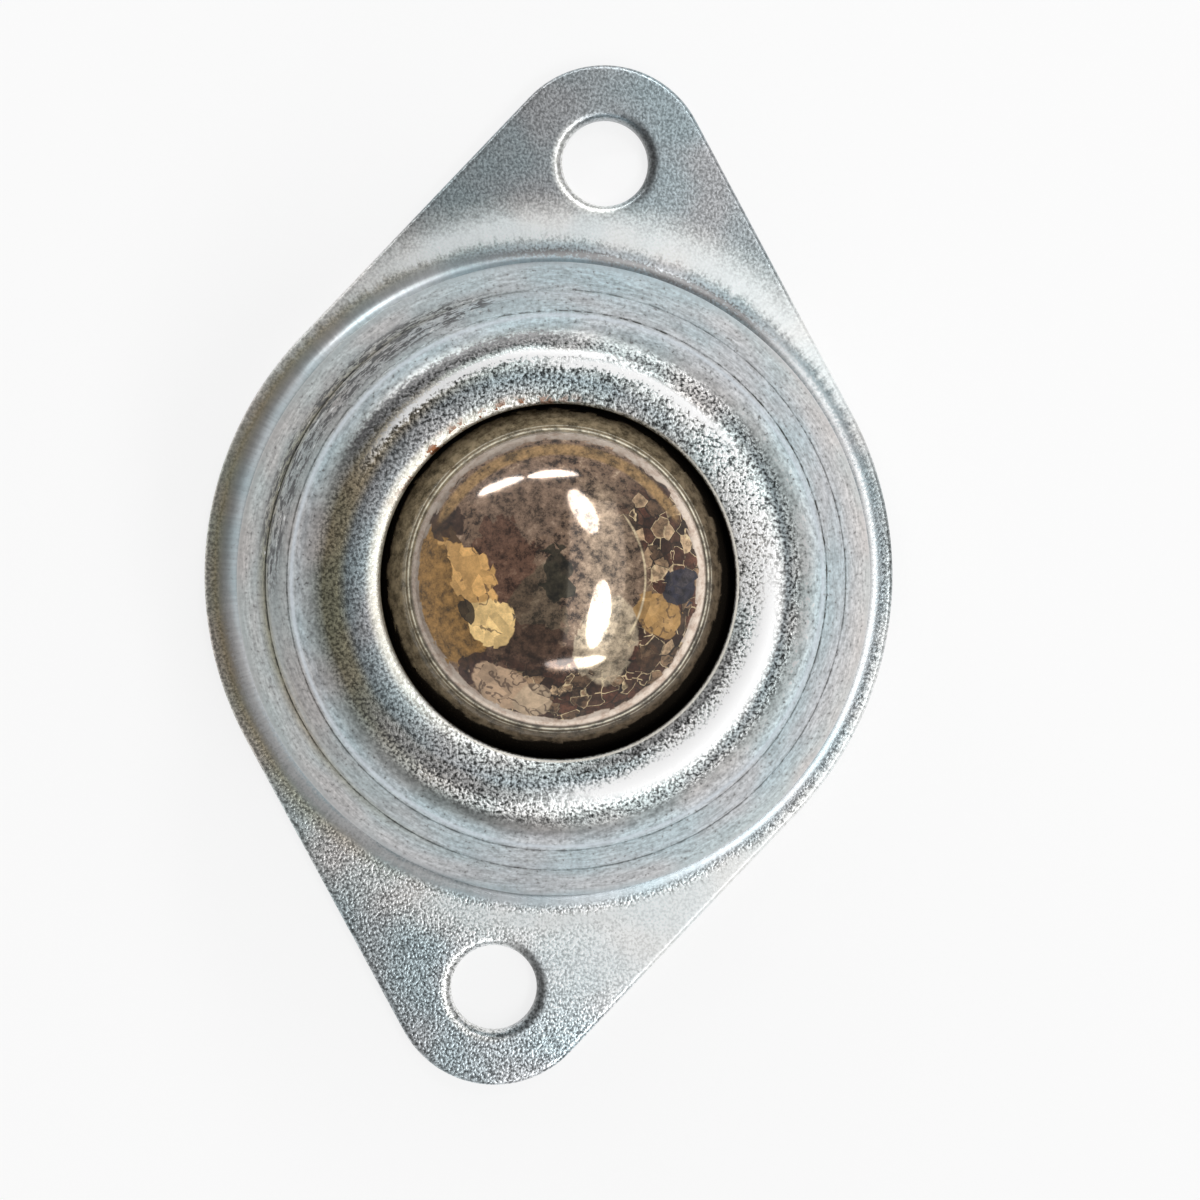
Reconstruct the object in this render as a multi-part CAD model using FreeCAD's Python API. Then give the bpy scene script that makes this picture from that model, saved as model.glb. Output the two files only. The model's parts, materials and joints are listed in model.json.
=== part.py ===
import FreeCAD, Part

# Ball castor: a pressed, flanged housing, a cup staked inside it, a load ball and its bed of bearing balls.
# Millimetres. +Z points towards the load ball and +X along the line of the two bolt holes.
# The origin is on the ball's axis, in the plane of the flange's mounting face.

import math
import os

from FreeCAD import Vector

# Load ball and bearing balls. The ratio is the load ball's diameter to a bearing ball's.
load_ball_diameter = 25.4
bearing_ball_ratio = 6.35
ball_running_gap = 0.05
bearing_ball_spacing_gap = 0.04
bed_top_degrees = 66.0

# Race cup
cup_sheet = 1.2
cup_foot_radius = 3.0
cup_foot_recess = 0.15
cup_mouth_radius = 0.6
cup_rim_width = 1.35
cup_rim_edge_radius = 0.3
cup_rim_seat_gap = 0.03
drain_hole_diameter = 2.5

# Housing sheet and its opening for the load ball
sheet = 1.5
lip_overlap = 1.45
lip_running_gap = 0.2
lip_width = 2.65
lip_radius = 12.0
opening_edge_radius = 0.4

# Drawn dome, measured on its outside
crown_radius = 3.4
cone_slope_degrees = 65.0
shoulder_radius = 2.1
wall_draft_degrees = 2.0
root_radius = 1.7

# Ring marks that the drawing dies left on the cone, by their distance down from the crown
draw_ring_drops = (0.45, 4.1)
draw_ring_width = 0.3
draw_ring_depth = 0.07

# Flange
flange_rim_width = 0.95
flange_tip_radius = 7.2
flange_edge_roll_over = 0.3
bolt_reach = 5.05
bolt_margin = 6.75
bolt_hole_diameter = 6.0
bolt_hole_roll_over = 0.6

# Stakes punched out of the housing's wall, under the cup's rim
stake_count = 6
stake_arc_degrees = 9.0
stake_overlap = 0.7
stake_height = 1.8
stake_gap = 0.03
stake_root = 0.4

AXIS = Vector(0, 0, 1)
ORIGIN = Vector(0, 0, 0)
UPRIGHT = math.pi / 2
SAME_PLACE = 1e-4
EDGE_SAMPLES = (0.0, 0.3, 0.7)

load_ball_radius = load_ball_diameter / 2
bearing_ball_radius = load_ball_radius / bearing_ball_ratio
bed_radius = load_ball_radius + ball_running_gap + bearing_ball_radius
race_radius = bed_radius + bearing_ball_radius + ball_running_gap
cup_radius = race_radius + cup_sheet
cup_rim_radius = cup_radius + cup_rim_width
opening_radius = load_ball_radius - lip_overlap
cone_tilt = math.radians(cone_slope_degrees)
wall_tilt = math.radians(90.0 - wall_draft_degrees)

# The cup's foot stands just clear of the mounting face and sets the load ball's height.
ball_centre = Vector(0, 0, cup_foot_recess + math.sqrt(cup_radius ** 2 - cup_foot_radius ** 2))


def at(radius, height):
    """A point of a half section, in the XZ plane."""
    return Vector(radius, 0, height)


def towards(tilt):
    """The unit vector of a half section that leans outwards from straight up by that angle."""
    return at(math.sin(tilt), math.cos(tilt))


def line(start, end):
    return Part.LineSegment(start, end).toShape()


def arc(centre, radius, start, end):
    """An arc of a half section, from one tilt off the vertical to another."""
    points = [centre + towards(tilt) * radius for tilt in (start, (start + end) / 2, end)]
    return Part.Arc(*points).toShape()


def polygon(points):
    """The closed outline through those points of a half section."""
    return [line(a, b) for a, b in zip(points, points[1:] + points[:1])]


def turned(edges, degrees=360.0):
    """Turns a closed half section about the ball's axis."""
    outline = Part.Wire(Part.__sortEdges__(edges))
    return Part.Face(outline).revolve(ORIGIN, AXIS, degrees)


def lip_crest():
    """The dome's highest point. The lip's inner lower edge clears the load ball by its running gap."""
    underside = math.sqrt((load_ball_radius + lip_running_gap) ** 2 - opening_radius ** 2)
    fall = lip_radius - math.sqrt((lip_radius - sheet) ** 2 - lip_width ** 2)
    return at(opening_radius + lip_width, ball_centre.z + underside + fall)


def bend_centres():
    """Centres of the dome's four bends: lip, crown, shoulder and root."""
    crest = lip_crest()
    lip = crest - AXIS * lip_radius
    crown = crest - AXIS * crown_radius
    cone_top = crown + towards(cone_tilt) * crown_radius
    corner_radius = cup_rim_radius + cup_rim_seat_gap + sheet
    corner = at(corner_radius, cone_top.z - (corner_radius - cone_top.x) * math.tan(cone_tilt))
    inwards = towards((cone_tilt + wall_tilt) / 2) / math.cos((wall_tilt - cone_tilt) / 2)
    shoulder = corner - inwards * shoulder_radius
    wall_top = shoulder + towards(wall_tilt) * shoulder_radius
    foot_height = sheet + root_radius * (1 - math.cos(wall_tilt))
    wall_foot = at(wall_top.x + (wall_top.z - foot_height) / math.tan(wall_tilt), foot_height)
    root = wall_foot + towards(wall_tilt) * root_radius
    return lip, crown, shoulder, root


def dome_skin(depth, reach):
    """One skin of the drawn sheet, that deep under the outside, from the ball's opening out to the reach."""
    lip, crown, shoulder, root = bend_centres()
    crown_bend = crown_radius - depth
    shoulder_bend = shoulder_radius - depth
    root_bend = root_radius + depth
    opening_tilt = -math.asin(lip_width / (lip_radius - depth))
    return [
        arc(lip, lip_radius - depth, opening_tilt, 0),
        arc(crown, crown_bend, 0, cone_tilt),
        line(crown + towards(cone_tilt) * crown_bend, shoulder + towards(cone_tilt) * shoulder_bend),
        arc(shoulder, shoulder_bend, cone_tilt, wall_tilt),
        line(shoulder + towards(wall_tilt) * shoulder_bend, root - towards(wall_tilt) * root_bend),
        arc(root, root_bend, math.pi + wall_tilt, math.pi),
        line(at(root.x, sheet - depth), at(reach, sheet - depth)),
    ]


def drawn_sheet(reach):
    """The whole drawn sheet before its outline is blanked."""
    outside = dome_skin(0.0, reach)
    inside = dome_skin(sheet, reach)
    opening = line(inside[0].Vertexes[0].Point, outside[0].Vertexes[0].Point)
    edge = line(at(reach, 0), at(reach, sheet))
    return turned(outside + [edge] + inside + [opening])


def flange_sizes():
    """Radius of the flange's waist, half the bolt spacing and half the flange's length."""
    root = bend_centres()[-1]
    waist_radius = root.x + flange_rim_width
    half_spacing = waist_radius + bolt_reach
    return waist_radius, half_spacing, half_spacing + bolt_margin


def blank_outline():
    """The blanked outline: a round waist joined by straight flanks to a round tip at each end."""
    waist_radius, half_spacing, half_length = flange_sizes()
    tip_centre = half_length - flange_tip_radius
    lean = math.asin((waist_radius - flange_tip_radius) / tip_centre)
    flank = Vector(math.sin(lean), math.cos(lean), 0)
    waist_end = flank * waist_radius
    tip_end = Vector(tip_centre, 0, 0) + flank * flange_tip_radius

    def mirrored(point, along, across):
        return Vector(point.x * along, point.y * across, 0)

    edges = []
    for side in (1, -1):
        tip = Vector(side * half_length, 0, 0)
        crest = Vector(0, side * waist_radius, 0)
        edges.append(Part.Arc(mirrored(tip_end, side, 1), tip, mirrored(tip_end, side, -1)).toShape())
        edges.append(Part.Arc(mirrored(waist_end, 1, side), crest, mirrored(waist_end, -1, side)).toShape())
        for across in (1, -1):
            edges.append(line(mirrored(waist_end, side, across), mirrored(tip_end, side, across)))
    return Part.Wire(Part.__sortEdges__(edges))


def draw_ring(drop):
    """A shallow ring mark across the cone, that far down from the crown."""
    crown = bend_centres()[1]
    outwards = towards(cone_tilt)
    middle = crown + outwards * crown_radius - towards(cone_tilt - UPRIGHT) * (drop + draw_ring_width / 2)
    half = towards(cone_tilt - UPRIGHT) * (draw_ring_width / 2)
    clear = outwards * draw_ring_depth
    section = [middle + half, middle + half + clear, middle - half + clear, middle - half, middle - clear]
    return turned(polygon(section))


def cup_rim_height():
    """Height of the rim's upper face, where the housing's wall starts to bend in over it."""
    shoulder = bend_centres()[2]
    return shoulder.z + (shoulder_radius - sheet) * math.cos(wall_tilt)


def stakes():
    """Nibs of wall metal pushed in under the cup's rim, evenly round the wall."""
    top = cup_rim_height() - cup_sheet - stake_gap
    inside = cup_rim_radius - stake_overlap
    outside = cup_rim_radius + cup_rim_seat_gap + stake_root
    section = polygon([at(inside, top), at(outside, top), at(outside, top - stake_height)])
    nibs = []
    for number in range(stake_count):
        nib = turned(section, stake_arc_degrees)
        middle = (number + 0.5) * 360.0 / stake_count
        nib.rotate(ORIGIN, AXIS, middle - stake_arc_degrees / 2)
        nibs.append(nib)
    return nibs


def edges_at(body, height, wanted):
    """Level edges of the body at that height whose distance from the axis meets the test."""
    found = []
    for edge in body.Edges:
        ends = edge.ParameterRange
        points = [edge.valueAt(ends[0] + (ends[1] - ends[0]) * share) for share in EDGE_SAMPLES]
        level = all(abs(point.z - height) < SAME_PLACE for point in points)
        if level and all(wanted(math.hypot(point.x, point.y)) for point in points):
            found.append(edge)
    return found


def housing():
    """The housing, one pressing: diamond flange, drawn dome and the lip that holds the load ball in."""
    waist_radius, half_spacing, half_length = flange_sizes()
    blank = Part.Face(blank_outline()).extrude(AXIS * (lip_crest().z + sheet))
    body = drawn_sheet(half_length + sheet).common(blank)
    for drop in draw_ring_drops:
        body = body.cut(draw_ring(drop))
    for side in (1, -1):
        foot = Vector(side * half_spacing, 0, -sheet)
        body = body.cut(Part.makeCylinder(bolt_hole_diameter / 2, 3 * sheet, foot))

    near_hole = half_spacing - bolt_hole_diameter / 2 - sheet
    holes = [edge for edge in edges_at(body, sheet, lambda reach: reach > near_hole) if edge.Closed]
    body = body.makeFillet(bolt_hole_roll_over, holes)
    past_waist = edges_at(body, sheet, lambda reach: reach > waist_radius - SAME_PLACE)
    body = body.makeFillet(flange_edge_roll_over, [edge for edge in past_waist if not edge.Closed])
    opening_top = lip_crest().z - lip_radius + math.sqrt(lip_radius ** 2 - lip_width ** 2)
    opening = edges_at(body, opening_top, lambda reach: abs(reach - opening_radius) < SAME_PLACE)
    body = body.makeFillet(opening_edge_radius, opening)
    return body.fuse(stakes()).removeSplitter()


def race_cup():
    """The pressed cup: a part-spherical race with an out-turned rim, a flat foot and a drain hole."""
    top = cup_rim_height()
    mouth_bend = cup_mouth_radius + cup_sheet
    fall = ball_centre.z - (top - mouth_bend)
    mouth = at(math.sqrt((cup_radius + cup_mouth_radius) ** 2 - fall ** 2), top - mouth_bend)
    side_tilt = math.pi - math.atan2(mouth.x, fall)
    rim = at(cup_rim_radius - cup_rim_edge_radius, top - cup_rim_edge_radius)
    under = top - cup_sheet
    drain = drain_hole_diameter / 2
    drain_tilt = math.pi - math.asin(drain / race_radius)
    foot_tilt = math.pi - math.asin(cup_foot_radius / cup_radius)
    section = [
        arc(ball_centre, race_radius, drain_tilt, side_tilt),
        arc(mouth, mouth_bend, side_tilt - math.pi, 0),
        line(at(mouth.x, top), at(rim.x, top)),
        arc(rim, cup_rim_edge_radius, 0, UPRIGHT),
        line(at(cup_rim_radius, rim.z), at(cup_rim_radius, under)),
        line(at(cup_rim_radius, under), at(mouth.x, under)),
        arc(mouth, cup_mouth_radius, 0, side_tilt - math.pi),
        arc(ball_centre, cup_radius, side_tilt, foot_tilt),
        line(at(cup_foot_radius, cup_foot_recess), at(drain, cup_foot_recess)),
        line(at(drain, cup_foot_recess), ball_centre + towards(drain_tilt) * race_radius),
    ]
    return turned(section)


def load_ball():
    return Part.makeSphere(load_ball_radius, ball_centre)


def bearing_balls():
    """The bed: rows of bearing balls on the race, from its bottom up, each row as full as it goes."""
    pitch_radius = bearing_ball_radius + bearing_ball_spacing_gap / 2
    row_step = 2 * math.asin(pitch_radius / bed_radius)
    centres = [ball_centre - AXIS * bed_radius]
    for row in range(1, int(math.radians(bed_top_degrees) / row_step) + 1):
        ring_radius = bed_radius * math.sin(row * row_step)
        drop = bed_radius * math.cos(row * row_step)
        count = int(math.pi / math.asin(pitch_radius / ring_radius))
        for number in range(count):
            turn = 2 * math.pi * (number + row / 2) / count
            offset = Vector(ring_radius * math.cos(turn), ring_radius * math.sin(turn), -drop)
            centres.append(ball_centre + offset)
    return [Part.makeSphere(bearing_ball_radius, centre) for centre in centres]


def pieces():
    """Every piece of the castor by its name."""
    named = {"flanged_housing": housing(), "race_cup": race_cup(), "load_ball": load_ball()}
    for number, ball in enumerate(bearing_balls(), 1):
        named[f"bearing_ball_{number:02d}"] = ball
    return named


def main():
    os.makedirs("parts", exist_ok=True)
    for name, shape in pieces().items():
        solid = shape.Solids[0] if len(shape.Solids) == 1 else shape
        solid.exportStep(f"parts/{name}.step")
        if not name.startswith("bearing_ball"):
            box = solid.BoundBox
            print(f"{name}: {len(shape.Solids)} solid, valid {shape.isValid()}, volume {solid.Volume:.1f},"
                  f" height {box.ZMin:.2f} to {box.ZMax:.2f}")
    waist_radius, half_spacing, half_length = flange_sizes()
    print(f"bolt spacing {2 * half_spacing:.2f}, flange {2 * half_length:.2f} by {2 * waist_radius:.2f}")
    print(f"opening radius {opening_radius:.2f}, ball centre {ball_centre.z:.2f}")


main()
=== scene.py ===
import json
import math

import bmesh
import bpy
from bpy.props import FloatProperty, FloatVectorProperty, IntProperty, PointerProperty
from mathutils import Matrix, Vector, noise


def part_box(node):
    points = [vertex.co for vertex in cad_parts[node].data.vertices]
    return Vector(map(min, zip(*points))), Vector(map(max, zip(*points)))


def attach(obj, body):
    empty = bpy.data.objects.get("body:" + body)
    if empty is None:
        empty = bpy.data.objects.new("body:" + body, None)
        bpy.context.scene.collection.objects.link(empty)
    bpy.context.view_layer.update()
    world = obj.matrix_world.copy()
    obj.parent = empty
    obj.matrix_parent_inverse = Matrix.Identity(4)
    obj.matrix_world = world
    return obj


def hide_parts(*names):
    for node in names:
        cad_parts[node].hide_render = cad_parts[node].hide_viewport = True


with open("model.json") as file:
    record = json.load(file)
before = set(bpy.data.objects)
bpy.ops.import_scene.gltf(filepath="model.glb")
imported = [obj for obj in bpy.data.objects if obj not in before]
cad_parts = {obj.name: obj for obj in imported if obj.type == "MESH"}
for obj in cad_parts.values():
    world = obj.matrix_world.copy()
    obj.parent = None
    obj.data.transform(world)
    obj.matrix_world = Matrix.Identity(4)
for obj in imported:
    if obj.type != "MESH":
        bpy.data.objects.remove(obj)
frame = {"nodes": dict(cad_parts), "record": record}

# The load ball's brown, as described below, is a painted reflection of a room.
bl_info = {
    "name": "Ball castor",
    "version": (1, 0, 0),
    "blender": (4, 5, 0),
    "location": "3D View > Sidebar > Castor",
    "description": "Zinc-plated ball castor with a tarnished load ball, its race cup and its bearing balls",
    "category": "Object",
}

# The looks of a flanged ball castor, in metres and in the frame of the CAD pieces.
# +Z points towards the load ball, +X along the two bolt holes, and the mounting face is at height 0.

MM = 0.001
UPRIGHT = math.pi / 2

BALL_LOW, BALL_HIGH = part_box("load_ball")
BALL_CENTRE = (BALL_LOW + BALL_HIGH) / 2
BALL_RADIUS = (BALL_HIGH.z - BALL_LOW.z) / 2
CUP_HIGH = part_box("race_cup")[1]
HOUSING_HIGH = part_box("flanged_housing")[1]
BEARING_NODES = sorted(name for name in frame["nodes"] if name.startswith("bearing_ball"))
BEARING_LOW, BEARING_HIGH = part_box(BEARING_NODES[0])
BEARING_RADIUS = (BEARING_HIGH.x - BEARING_LOW.x) / 2
BOLTS = next(mount for mount in frame["record"]["mounts"] if mount["name"] == "flange_bolts")["dims"]


def length(label, description, default):
    return FloatProperty(
        name=label, description=description, default=default, min=0.0, precision=5, unit="LENGTH"
    )


def angle_size(label, description, degrees):
    return FloatProperty(
        name=label, description=description, default=math.radians(degrees), subtype="ANGLE"
    )


def position(label, description, default):
    return FloatVectorProperty(
        name=label, description=description, default=default, precision=5, unit="LENGTH"
    )


def colour(label, description, default):
    return FloatVectorProperty(
        name=label, description=description, default=default, min=0.0, max=1.0, subtype="COLOR", size=3
    )


class CastorHousingSizes(bpy.types.PropertyGroup):
    """Sizes of the drawn housing, those of its outside where two skins differ"""

    sheet: length("Sheet", "Thickness of the drawn sheet", 1.5 * MM)
    opening_radius: length("Opening radius", "Radius of the opening round the load ball", 11.25 * MM)
    opening_edge_radius: length("Opening edge", "Rounding of the opening's upper edge", 0.4 * MM)
    lip_width: length("Lip width", "From the opening's edge out to the crest", 2.65 * MM)
    lip_radius: length("Lip bend", "Bend of the lip that leans in over the ball", 12.0 * MM)
    crown_radius: length("Crown bend", "Bend from the crest into the cone", 3.4 * MM)
    cone_slope: angle_size("Cone slope", "Slope of the cone", 65.0)
    shoulder_reach: length("Shoulder reach", "Radius where cone and wall would meet", 20.88 * MM)
    shoulder_radius: length("Shoulder bend", "Bend from the cone into the wall", 2.1 * MM)
    wall_draft: angle_size("Wall draft", "Lean of the wall off straight up", 2.0)
    root_radius: length("Root bend", "Bend from the wall out into the flange", 1.7 * MM)
    ring_drop_upper: length("Upper ring drop", "From the crown down to the upper draw ring", 0.45 * MM)
    ring_drop_lower: length("Lower ring drop", "From the crown down to the lower draw ring", 4.1 * MM)
    ring_width: length("Ring width", "Width of a draw ring", 0.3 * MM)
    ring_depth: length("Ring depth", "Depth of a draw ring", 0.07 * MM)
    waist_radius: length("Waist radius", "Radius of the flange's waist", HOUSING_HIGH.y)
    half_length: length("Half length", "From the ball's axis to a tip of the flange", HOUSING_HIGH.x)
    tip_radius: length("Tip radius", "Radius of the flange's tips", 7.2 * MM)
    edge_roll: length("Edge roll-over", "Rounding of the flange's sheared upper edge", 0.3 * MM)
    bolt_reach: length("Bolt reach", "From the ball's axis to a bolt hole", BOLTS["spacing_x_mm"] / 2 * MM)
    hole_radius: length("Hole radius", "Radius of a bolt hole", BOLTS["hole_r_mm"] * MM)
    hole_roll: length("Hole roll-over", "Rounding of a bolt hole's upper edge", 0.6 * MM)
    waviness: length("Waviness", "Unevenness of the drawn cone and wall", 0.012 * MM)
    stake_count: IntProperty(
        name="Stakes", description="Nibs of the wall under the cup's rim", default=6, min=1
    )
    stake_arc: angle_size("Stake arc", "Turn that one stake spans", 9.0)
    stake_overlap: length("Stake overlap", "How far a stake reaches in under the cup's rim", 0.7 * MM)
    stake_root: length("Stake root", "How far a stake reaches out into the wall past the rim", 0.43 * MM)
    stake_height: length("Stake height", "Height of a stake", 1.8 * MM)
    cup_sheet: length("Cup sheet", "Thickness of the cup's rim", 1.2 * MM)
    cup_gap: length("Cup gap", "Room between the cup's rim and a stake", 0.03 * MM)


class CastorFinishes(bpy.types.PropertyGroup):
    """Colours of the plate, of the oiled steel and of the painted reflection on the load ball"""

    rust: colour("Rust", "Rust at the opening's edge", (0.22, 0.085, 0.03))
    cup_steel: colour("Cup steel", "Drawn steel of the race cup", (0.50, 0.51, 0.52))
    bearing_steel: colour("Bearing steel", "Polished steel of the small balls", (0.72, 0.72, 0.73))
    # The three colours below are the painted reflection of a room on the load ball: its mid, darkest and
    # palest tones.
    reflected_room: colour("Tarnish", "Brown tarnish on the load ball", (0.24, 0.165, 0.125))
    reflected_room_dark: colour("Dark tarnish", "Darkest blotches of the tarnish", (0.07, 0.042, 0.033))
    reflected_room_pale: colour("Pale tarnish", "Thin tarnish with steel shining through", (0.42, 0.34, 0.27))


class CastorStudio(bpy.types.PropertyGroup):
    """Floor, lamps and camera"""

    floor: colour("Floor", "Colour of the floor", (0.86, 0.86, 0.86))
    floor_half: length("Floor half", "Half the width of the floor", 1.5)
    camera_place: position("Camera place", "Place of the camera", (0.0029, 0.0064, 0.2658))
    camera_aim: position("Camera aim", "Point the camera looks at", (-0.0012, -0.00375, 0.0))
    camera_lean: angle_size("Camera lean", "Turn of the bolt line in the picture", 7.7)
    film_width: FloatProperty(name="Film width", description="Width of the film", default=36.0, unit="CAMERA")
    lens: FloatProperty(name="Lens", description="Focal length of the lens", default=114.0, unit="CAMERA")
    lamp_distance: length("Lamp distance", "From the load ball to each lamp", 0.5)


def sizes():
    return bpy.context.scene.castor_housing


def finishes():
    return bpy.context.scene.castor_finishes


def studio():
    return bpy.context.scene.castor_studio


def show(name, data):
    """A new object in the scene for that mesh, lamp or camera."""
    piece = bpy.data.objects.new(name, data)
    bpy.context.scene.collection.objects.link(piece)
    return piece


def dress(piece, material):
    piece.data.materials.clear()
    piece.data.materials.append(material)


# Half sections, as points (radius, height)


def leaning(tilt, distance):
    """The offset of a half section that leans outwards from straight up by that tilt."""
    return Vector((math.sin(tilt), math.cos(tilt))) * distance


def arc(centre, radius, start, end, step):
    """Points along an arc, from one tilt off the vertical to another, without its last point."""
    count = max(2, math.ceil(abs(end - start) * radius / step))
    return [centre + leaning(start + (end - start) * index / count, radius) for index in range(count)]


def run(start, end, step):
    """Points along a straight stretch, without its last point."""
    count = max(1, math.ceil((end - start).length / step))
    return [start.lerp(end, index / count) for index in range(count)]


def dome_bends(size):
    """Centres of the dome's four bends: lip, crown, shoulder and root."""
    wall_tilt = UPRIGHT - size.wall_draft
    crest = Vector((size.opening_radius + size.lip_width, HOUSING_HIGH.z))
    lip = crest - leaning(0.0, size.lip_radius)
    crown = crest - leaning(0.0, size.crown_radius)
    cone_top = crown + leaning(size.cone_slope, size.crown_radius)
    corner_fall = (size.shoulder_reach - cone_top.x) * math.tan(size.cone_slope)
    corner = Vector((size.shoulder_reach, cone_top.y - corner_fall))
    inwards = leaning((size.cone_slope + wall_tilt) / 2, size.shoulder_radius)
    shoulder = corner - inwards / math.cos((wall_tilt - size.cone_slope) / 2)
    wall_top = shoulder + leaning(wall_tilt, size.shoulder_radius)
    foot_height = size.sheet + size.root_radius * (1 - math.cos(wall_tilt))
    wall_foot = Vector((wall_top.x + (wall_top.y - foot_height) / math.tan(wall_tilt), foot_height))
    root = wall_foot + leaning(wall_tilt, size.root_radius)
    return lip, crown, shoulder, root


def ring_reach(size, drop):
    """Radius at the middle of the draw ring that lies that far down the cone."""
    cone_top = dome_bends(size)[1] + leaning(size.cone_slope, size.crown_radius)
    return cone_top.x + (drop + size.ring_width / 2) * math.cos(size.cone_slope)


def cone_points(size, start, end, step):
    """The cone from crown to shoulder, with a shallow groove for each draw ring."""
    along = (end - start).normalized()
    outwards = leaning(size.cone_slope, 1.0)
    points = []
    reached = start
    for drop in (size.ring_drop_upper, size.ring_drop_lower):
        ring_start = start + along * drop
        points += run(reached, ring_start, step)
        for share in (0.0, 0.2, 0.4, 0.5, 0.6, 0.8):
            depth = size.ring_depth * (0.5 - 0.5 * math.cos(share * math.tau))
            points.append(ring_start + along * (share * size.ring_width) - outwards * depth)
        reached = ring_start + along * size.ring_width
    return points + run(reached, end, step)


def outer_skin(size):
    """The outside of the dome, from the opening's lower edge out to the flange."""
    lip, crown, shoulder, root = dome_bends(size)
    wall_tilt = UPRIGHT - size.wall_draft
    edge_reach = size.opening_radius + size.opening_edge_radius
    edge_tilt = math.asin((edge_reach - lip.x) / (size.lip_radius - size.opening_edge_radius))
    edge = lip + leaning(edge_tilt, size.lip_radius - size.opening_edge_radius)
    under = lip.y + math.sqrt((size.lip_radius - size.sheet) ** 2 - size.lip_width ** 2)
    edge_step = 0.06 * MM
    even = 0.2 * MM
    shoulder_step = 0.1 * MM
    wall_step = 0.4 * MM
    root_step = 0.12 * MM
    points = run(Vector((size.opening_radius, under)), Vector((size.opening_radius, edge.y)), even)
    points += arc(edge, size.opening_edge_radius, -UPRIGHT, edge_tilt, edge_step)
    points += arc(lip, size.lip_radius, edge_tilt, 0.0, even)
    points += arc(crown, size.crown_radius, 0.0, size.cone_slope, even)
    cone_start = crown + leaning(size.cone_slope, size.crown_radius)
    points += cone_points(size, cone_start, shoulder + leaning(size.cone_slope, size.shoulder_radius), even)
    points += arc(shoulder, size.shoulder_radius, size.cone_slope, wall_tilt, shoulder_step)
    wall_start = shoulder + leaning(wall_tilt, size.shoulder_radius)
    points += run(wall_start, root - leaning(wall_tilt, size.root_radius), wall_step)
    points += arc(root, size.root_radius, math.pi + wall_tilt, math.pi, root_step)
    foot = root - leaning(0.0, size.root_radius)
    return points + [foot, foot + Vector((size.edge_roll / 2, 0.0))]


def inner_skin(size):
    """The inside of the dome, from the mounting face up to the opening's lower edge."""
    lip, crown, shoulder, root = dome_bends(size)
    wall_tilt = UPRIGHT - size.wall_draft
    even = 0.5 * MM
    crown_bend = size.crown_radius - size.sheet
    shoulder_bend = size.shoulder_radius - size.sheet
    root_bend = size.root_radius + size.sheet
    opening_tilt = -math.asin(size.lip_width / (size.lip_radius - size.sheet))
    foot = root - leaning(0.0, root_bend)
    points = [foot + Vector((size.edge_roll, 0.0))]
    points += arc(root, root_bend, math.pi, math.pi + wall_tilt, even)
    points += run(root - leaning(wall_tilt, root_bend), shoulder + leaning(wall_tilt, shoulder_bend), even)
    points += arc(shoulder, shoulder_bend, wall_tilt, size.cone_slope, even)
    cone_end = crown + leaning(size.cone_slope, crown_bend)
    points += run(shoulder + leaning(size.cone_slope, shoulder_bend), cone_end, even)
    points += arc(crown, crown_bend, size.cone_slope, 0.0, even)
    points += arc(lip, size.lip_radius - size.sheet, 0.0, opening_tilt, even)
    return points


# Rings of vertices and the faces between them


def uneven(place, size):
    """The place on the cone or wall, moved in or out a little as a pressed sheet is."""
    _, crown, _, root = dome_bends(size)
    reach = Vector((place.x, place.y))
    fade = 2 * MM
    share = min(1.0, max(0.0, (reach.length - crown.x) / fade))
    share *= min(1.0, max(0.0, (place.z - root.y) / fade))
    wide_swell = 9 * MM
    narrow_swell = 3.5 * MM
    swell = noise.noise(place / wide_swell) + 0.5 * noise.noise(place / narrow_swell)
    moved = reach * (1.0 + swell * share * size.waviness / reach.length)
    return Vector((moved.x, moved.y, place.z))


def turned_ring(bm, point, turns, size, loose):
    """A ring of vertices about the ball's axis."""
    ring = []
    for index in range(turns):
        angle = math.tau * index / turns
        place = Vector((point.x * math.cos(angle), point.x * math.sin(angle), point.y))
        ring.append(bm.verts.new(uneven(place, size) if loose else place))
    return ring


def bridge(bm, rings):
    """Faces between each two neighbours of a row of closed rings of as many vertices."""
    for first, second in zip(rings, rings[1:]):
        for index, vertex in enumerate(first):
            after = (index + 1) % len(first)
            bm.faces.new((vertex, second[index], second[after], first[after]))


def closed_mesh(bm, name, sharp_degrees):
    """A mesh with its faces turned outwards, smooth but for edges sharper than that."""
    bmesh.ops.recalc_face_normals(bm, faces=bm.faces)
    mesh = bpy.data.meshes.new(name)
    bm.to_mesh(mesh)
    bm.free()
    mesh.shade_smooth()
    mesh.set_sharp_from_angle(angle=math.radians(sharp_degrees))
    return mesh


def ring_edges(bm, ring):
    return [bm.edges.get(pair) for pair in zip(ring, ring[1:] + ring[:1])]


def blank_outline(size):
    """Points and outward directions round the flange's blanked outline, anticlockwise."""
    tip_centre = size.half_length - size.tip_radius
    lean = math.asin((size.waist_radius - size.tip_radius) / tip_centre)
    tip_half = UPRIGHT - lean
    stretches = (
        (Vector((tip_centre, 0)), size.tip_radius, -tip_half, tip_half),
        (Vector((0, 0)), size.waist_radius, tip_half, math.pi - tip_half),
        (Vector((-tip_centre, 0)), size.tip_radius, math.pi - tip_half, math.pi + tip_half),
        (Vector((0, 0)), size.waist_radius, math.pi + tip_half, math.tau - tip_half),
    )
    step = 0.3 * MM
    outline = []
    for centre, radius, start, end in stretches:
        count = max(8, round((end - start) * radius / step))
        for index in range(count + 1):
            angle = start + (end - start) * index / count
            direction = Vector((math.cos(angle), math.sin(angle)))
            outline.append((centre + direction * radius, direction))
    return outline


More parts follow.
